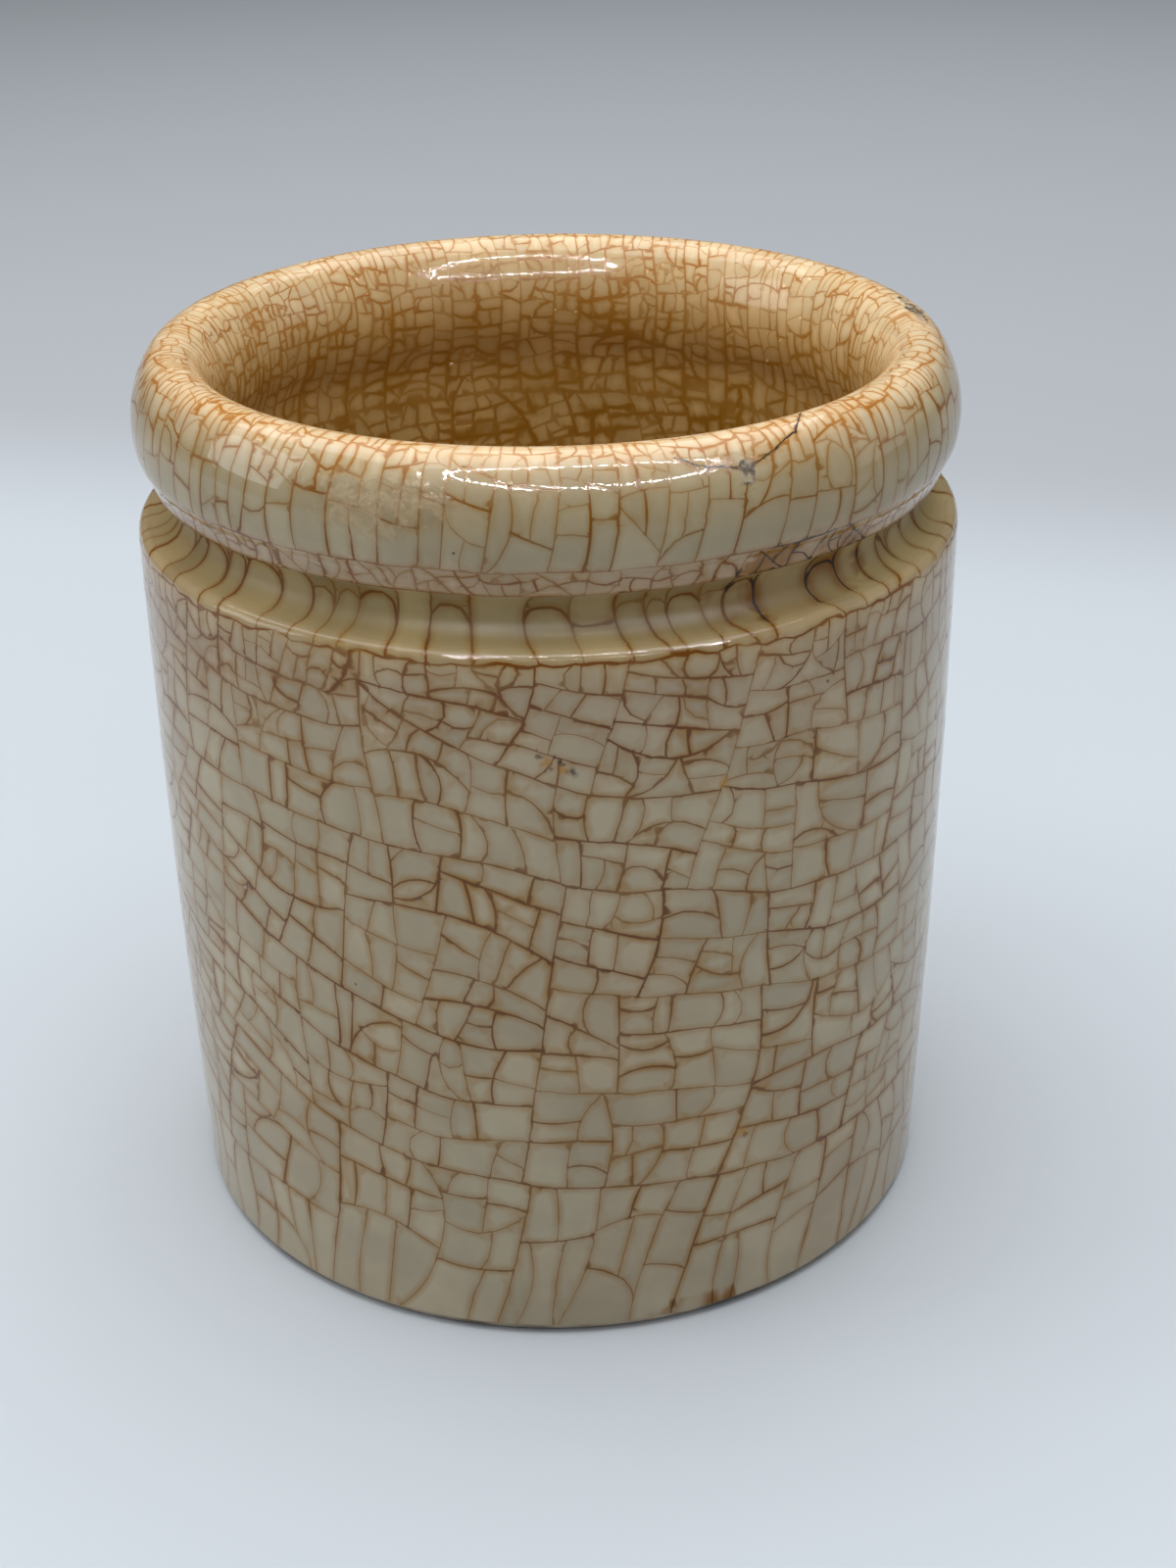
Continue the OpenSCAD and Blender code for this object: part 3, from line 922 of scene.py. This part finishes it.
def makeGlaze(look):
    f = Finish(look["name"])
    span = pot.middle - pot.foot
    length = f.attribute("length")
    where = f.reach(length, pot.foot, pot.middle)
    where.node.interpolation_type = "LINEAR"
    at = [(row[0] - pot.foot) / span for row in glazeTones]
    ground, halo, crack = [f.ramp(where, [(u, row[k]) for u, row in zip(at, glazeTones)]) for k in (1, 2, 3)]
    halves = [(u, [n / 2 for n in row[4]]) for u, row in zip(at, glazeTones)]
    spread = f.node("ShaderNodeSeparateColor", {"Color": f.ramp(where, halves)})
    haloReach, haloAmount, lineHalf = [f.times(part, 2.0) for part in spread.outputs]
    away, stain, toneAndShade = f.attribute("crackDistance"), f.attribute("crackStain"), f.attribute("cellToneAndShade")
    chip, rough, dirt = f.node("ShaderNodeSeparateXYZ", {"Vector": f.attribute("wear", "Vector")}).outputs

    wide, fine, sand = f.cloud(26.0), f.cloud(5.0, 4.0, 0.3), f.cloud(0.55, 4.0, 0.7)
    pinkness = f.times(f.reach(wide, 0.42, 0.66), look["pink"])
    colour = f.blend(pinkness, ground, f.blend(1.0, ground, glazeTints["pink"], "MULTIPLY"))
    shade = f.reach(f.cloud(8.0, 4.0, 1.7), 0.3, 0.7, 0.92, 1.08)
    # A tone below zero darkens a cell: painted shade in the groove's hollow under the roll
    toned = f.times(f.scaled(toneAndShade, 0.12, 0.94), shade)
    bright = f.node("ShaderNodeCombineColor", dict.fromkeys(range(3), toned))
    colour = f.blend(1.0, colour, bright.outputs["Color"], "MULTIPLY")

    near = f.scaled(stain, 0.65, 0.35)
    near = f.times(f.reach(away, 0.0, haloReach, 1.0, 0.0), near)
    near = f.times(f.times(near, haloAmount), f.reach(fine, 0.32, 0.68, 0.45, 1.2))
    colour = f.blend(near, colour, halo)
    half = f.times(f.scaled(stain, 0.6, 0.4), f.reach(fine, 0.3, 0.7, 0.75, 1.25))
    soot = f.reach(f.attribute("soot"), 0.35, 0.75)
    half = f.times(half, f.scaled(soot, -0.35, 1.0))
    core = f.reach(f.sum("DIVIDE", away, f.times(half, lineHalf)), 0.35, 1.4, 1.0, 0.0)
    stroke = f.times(core, f.scaled(stain, 0.5, 0.55))
    faint = f.blend(0.55, halo, crack)
    crack = f.blend(f.reach(stain, 0.2, 0.75), faint, crack)
    dirty = f.reach(dirt, 0.1, 0.4)
    dark = f.blend(f.sum("MAXIMUM", dirty, soot), crack, glazeTints["soot"])
    colour = f.blend(stroke, colour, dark)

    grit = f.reach(sand, 0.7, 0.78)
    grit = f.times(grit, f.reach(f.cloud(9.0, 2.0, 1.1), 0.5, 0.7, 0.05, 0.55))
    colour = f.blend(grit, colour, glazeTints["grit"])
    mottle = f.cloud(1.3, 5.0, 0.5)
    worn = f.times(rough, f.reach(mottle, 0.34, 0.6, 0.35, 1.0))
    colour = f.blend(f.times(worn, 0.6), colour, f.ramp(mottle, glazeTints["worn"]))
    smudge = f.times(f.reach(dirt, 0.05, 0.6), f.reach(fine, 0.34, 0.56, 0.4, 1.0))
    smudge = f.times(smudge, f.reach(away, 0.2, 1.6, 1.0, 0.2))
    colour = f.blend(smudge, colour, glazeTints["smudge"])
    colour = f.blend(f.times(core, dirty), colour, glazeTints["dirtyCrack"])
    bruise = f.reach(f.scaled(sand, 1.3, f.sum("SUBTRACT", chip, 0.65)), 0.3, 0.65)
    colour = f.blend(bruise, colour, f.ramp(f.cloud(0.8, 6.0, 0.2), glazeTints["chip"]))
    for turn, s, size, tint in glazeSpots:
        spot = surfacePoint(radians(turn), s, 0.05) * mm
        near = f.node("ShaderNodeVectorMath", {0: f.place, 1: spot}, operation="DISTANCE")
        ragged = f.scaled(sand, 1.1 * size * mm, near.outputs["Value"])
        colour = f.blend(f.reach(ragged, 0.55 * size * mm, 1.15 * size * mm, 0.9, 0.0), colour, (*tint, 1))
    f.give("Base Color", colour)

    groove = f.times(f.reach(length, pot.shoulder + 1.5, pot.shoulder + 2.3),
                     f.reach(length, -15.0, -14.0, 1.0, 0.0))
    gloss = f.scaled(stroke, 0.22, f.scaled(groove, 0.4, look["roughness"]))
    bare = f.sum("MAXIMUM", chip, worn)
    gloss = f.scaled(bare, 0.45, gloss)
    gloss = f.scaled(f.reach(f.cloud(3.0, 4.0, 2.0), 0.5, 0.75), 0.03, gloss)
    f.give("Roughness", gloss)
    f.give("IOR", 1.4)
    dip = f.bump(f.reach(away, 0.0, 0.3), 0.004)
    edge = f.times(f.reach(length, pot.shoulder, pot.shoulder + 0.6),
                   f.reach(length, pot.shoulder + 1.3, pot.shoulder + 2.2, 14.0, 0.0))
    peel = f.bump(f.times(f.cloud(2.4, 2.0, 3.0), f.sum("ADD", edge, 1.0)), 0.006, dip)
    f.give("Normal", f.bump(f.times(sand, bare), 0.12, peel))
    return f.material


def makeClay():
    f = Finish("bareClay")
    colour = f.ramp(f.cloud(2.6, 5.0), [(0.35, (0.42, 0.32, 0.22)), (0.65, (0.6, 0.5, 0.38))])
    specks = f.reach(f.cloud(0.6, 3.0, 0.4), 0.66, 0.74, 0.0, 0.8)
    colour = f.blend(specks, colour, (0.16, 0.1, 0.06, 1))
    grime = f.reach(f.cloud(14.0, 4.0, 0.9), 0.52, 0.72, 0.0, 0.85)
    f.give("Base Color", f.blend(grime, colour, (0.12, 0.1, 0.085, 1)))
    f.give("Roughness", f.reach(f.cloud(5.0, 3.0, 2.0), 0.3, 0.7, 0.68, 0.9))
    f.give("Normal", f.bump(f.cloud(0.7, 5.0, 1.3), 0.06))
    return f.material


def makeBase():
    f = Finish("baseGlaze")
    push = f.node("ShaderNodeTexNoise", {"Vector": f.place, "Scale": 220.0}).outputs["Color"]
    bent = f.node("ShaderNodeVectorMath", {0: push, 1: [0.002] * 3, 2: f.place}, operation="MULTIPLY_ADD")
    inputs = {"Vector": bent.outputs["Vector"], "Scale": 230.0}
    away = f.node("ShaderNodeTexVoronoi", inputs, feature="DISTANCE_TO_EDGE").outputs["Distance"]
    colour = f.ramp(f.cloud(16.0), [(0.4, (0.68, 0.6, 0.45)), (0.65, (0.6, 0.46, 0.34))])
    colour = f.blend(f.reach(away, 0.0, 0.16, 0.4, 0.0), colour, (0.44, 0.28, 0.15, 1))
    colour = f.blend(f.reach(away, 0.01, 0.045, 0.9, 0.0), colour, (0.3, 0.13, 0.055, 1))
    f.give("Base Color", colour)
    f.give("Roughness", f.reach(f.cloud(4.0, 3.0, 2.0), 0.4, 0.7, 0.08, 0.2))
    f.give("Normal", f.bump(f.reach(away, 0.0, 0.06), 0.015))
    return f.material


for piece, look, node, slot in ((outerCoat, creamGlaze, "outer_glaze", "cream_glaze"),
                                (innerCoat, stainedGlaze, "inner_glaze", "stained_glaze")):
    piece.data.materials.append(makeGlaze(look))
    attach(piece, "root")
    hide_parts(node)
for node, material in (("clay_body", makeClay()), ("base_glaze", makeBase())):
    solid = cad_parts[node]
    solid.data.materials.clear()
    solid.data.materials.append(material)
print("finishes: cream glaze, stained glaze, base glaze, bare clay")


# Paper floor with shade painted on it behind the pot, soft light from above and a ring of small lamps over
# the camera
studio = {
    "paper": (0.585, 0.637, 0.69),
    "paperPaintedShade": (0.43, 0.452, 0.485),
    "fold": (0.191, -0.249),  # where the painted shade on the paper begins behind the pot, and the slope of that line
    "lamps": [  # name, size, place, power and aim
        ("overhead", (1.1, 0.95), (-0.05, 0.13, 0.8), 9.2, (-0.03, 0.05, 0)),
        ("front", (0.28, 0.18), (0.042, -0.188, 0.25), 0.2, (0, -0.06, 0.01)),
        ("left", (0.35, 0.35), (-0.7, -0.05, 0.3), 1.15, (0, 0, 0.05)),
        ("right", (0.3, 0.35), (0.7, 0.1, 0.25), 0.24, (0, 0, 0.05)),
    ],
    "sky": ((0.95, 0.97, 1.0), 0.08),
    "ring": {"lamps": 60, "centre": (0.042, -0.188, 0.25), "half": (0.14, 0.09), "width": 0.006,
             "length": 0.55, "power": 0.018, "aim": (0, 0, 0.08)},  # length as a share of the lamps' gap
}


def makeFloor():
    bm = bmesh.new()
    bmesh.ops.create_grid(bm, x_segments=1, y_segments=1, size=3.0)
    mesh = bpy.data.meshes.new("paperFloor")
    bm.to_mesh(mesh)
    bm.free()
    f = Finish("paper")
    x, y, _ = f.node("ShaderNodeSeparateXYZ", {"Vector": f.place}).outputs
    start, slope = studio["fold"]
    beyond = f.sum("SUBTRACT", y, f.scaled(x, slope, start))
    grain = f.scaled(f.cloud(1.2, 4.0), 0.02, -0.01)
    # Painted shade: darkest just past that line, paler again further back
    far = f.sum("ADD", f.reach(beyond, -0.03, 0.06, 0.0, 0.8), f.reach(beyond, 0.08, 0.8, 0.0, -0.55))
    colour = f.blend(f.sum("ADD", far, grain), (*studio["paper"], 1), (*studio["paperPaintedShade"], 1))
    f.give("Base Color", colour)
    f.give("Roughness", 0.75)
    f.give("Specular IOR Level", 0.2)
    mesh.materials.append(f.material)
    addObject("paperFloor", mesh)


def areaLamp(name, size, power):
    lamp = bpy.data.lights.new(name, "AREA")
    lamp.shape = "RECTANGLE"
    lamp.size, lamp.size_y = size
    lamp.energy = power
    return addObject(name, lamp)


# Puts an object in its place, its own axes along these directions
def stand(made, place, axes):
    made.matrix_world = Matrix.Translation(place) @ Matrix(axes).transposed().to_4x4()


def makeLight():
    for name, size, place, power, aim in studio["lamps"]:
        holder = areaLamp(name, size, power)
        holder.location = place
        way = Vector(aim) - Vector(place)
        holder.rotation_euler = way.to_track_quat("-Z", "Y").to_euler()
        holder.visible_glossy = name != "front"
    ring = studio["ring"]
    turns = [2 * pi * k / ring["lamps"] for k in range(ring["lamps"] + 1)]
    (cx, cy, cz), (halfX, halfY) = ring["centre"], ring["half"]
    spots = [Vector((cx + halfX * cos(t), cy + halfY * sin(t), cz)) for t in turns]
    for k, (a, b) in enumerate(zip(spots, spots[1:])):
        size = (ring["length"] * (b - a).length, ring["width"])
        holder = areaLamp(f"ringLamp{k:02d}", size, ring["power"])
        aim = Vector(ring["aim"]) - (a + b) / 2
        along = (b - a).normalized()
        out = -aim.normalized()
        across = out.cross(along).normalized()
        stand(holder, (a + b) / 2, (along, across, along.cross(across)))
        holder.visible_diffuse = False
    world = bpy.data.worlds.new("sky")
    world.use_nodes = True
    sky = world.node_tree.nodes["Background"]
    sky.inputs["Color"].default_value = (*studio["sky"][0], 1)
    sky.inputs["Strength"].default_value = studio["sky"][1]
    bpy.context.scene.world = world


# The photograph's camera, in metres and radians
cameraView = {
    "place": (0.0, -0.23067, 0.1603),
    "pitch": 0.4718,
    "yaw": 0.0158,
    "roll": -0.0141,
    "focalPixels": 2403,
    "frameHeight": 1600,
}


def makeCamera():
    view = cameraView
    data = bpy.data.cameras.new("photoCamera")
    data.sensor_width = 36
    data.lens = data.sensor_width * view["focalPixels"] / view["frameHeight"]
    data.clip_start = 0.01
    e, yaw, lean = view["pitch"], view["yaw"], view["roll"]
    forward = Vector((sin(yaw) * cos(e), cos(yaw) * cos(e), -sin(e)))
    right = forward.cross(Vector((0, 0, 1))).normalized()
    up = right.cross(forward)
    rightTurned = right * cos(lean) + up * sin(lean)
    upTurned = up * cos(lean) - right * sin(lean)
    camera = addObject("photoCamera", data)
    stand(camera, view["place"], (rightTurned, upTurned, -forward))
    bpy.context.scene.camera = camera


makeFloor()
makeLight()
makeCamera()
bpy.context.scene.view_settings.view_transform = "Standard"
